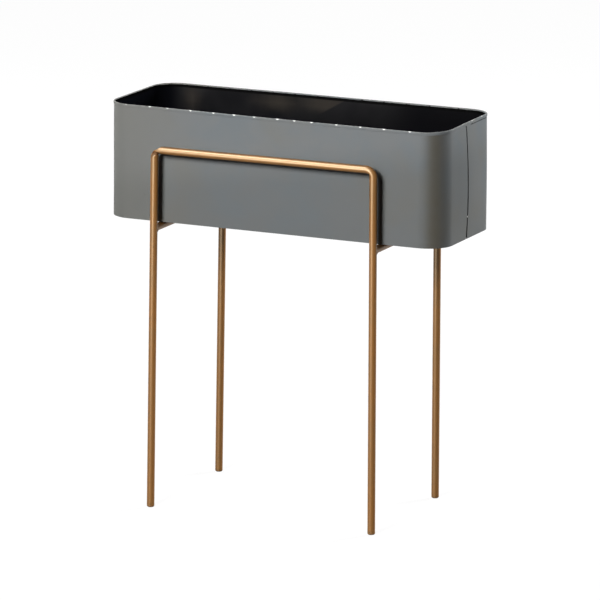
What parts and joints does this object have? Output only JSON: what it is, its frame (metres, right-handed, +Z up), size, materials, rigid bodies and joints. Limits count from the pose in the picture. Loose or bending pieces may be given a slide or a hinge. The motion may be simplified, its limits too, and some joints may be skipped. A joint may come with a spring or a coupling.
{
  "type": "plant stand with trough",
  "caption": "Long sheet-metal planter trough with rounded corners, standing loose on crossbars between front and rear bent tube frames that form the legs and rails.",
  "frame": {"origin": "on the floor, under the middle of the trough", "axes": "+Z up, +X to the right along the trough, +Y to the rear"},
  "size_m": [0.6016, 0.2774, 0.669],
  "materials": {
    "trough_paint": "satin grey paint with a mottled patina",
    "trough_inside": "matt dark paint",
    "tube_lacquer": "brass-coloured metallic lacquer",
    "foot_plug": "moulded plastic in the lacquer's colour"
  },
  "bodies": {
    "stand": {"front_frame": "tube_lacquer", "rear_frame": "tube_lacquer", "left_crossbar": "tube_lacquer", "right_crossbar": "tube_lacquer", "front_left_weld": "tube_lacquer", "front_right_weld": "tube_lacquer", "rear_left_weld": "tube_lacquer", "rear_right_weld": "tube_lacquer", "front_left_foot": "foot_plug", "front_right_foot": "foot_plug", "rear_left_foot": "foot_plug", "rear_right_foot": "foot_plug"},
    "trough": {"trough_wall": "trough_paint", "seam_strip": "trough_inside", "trough_floor": "trough_inside", "rim_binding": "trough_paint"}
  },
  "joints": [
    {"name": "trough_lift", "type": "slide", "parent": "stand", "child": "trough", "axis": [0, 0, 1], "range_m": [0, 0.15]}
  ]
}
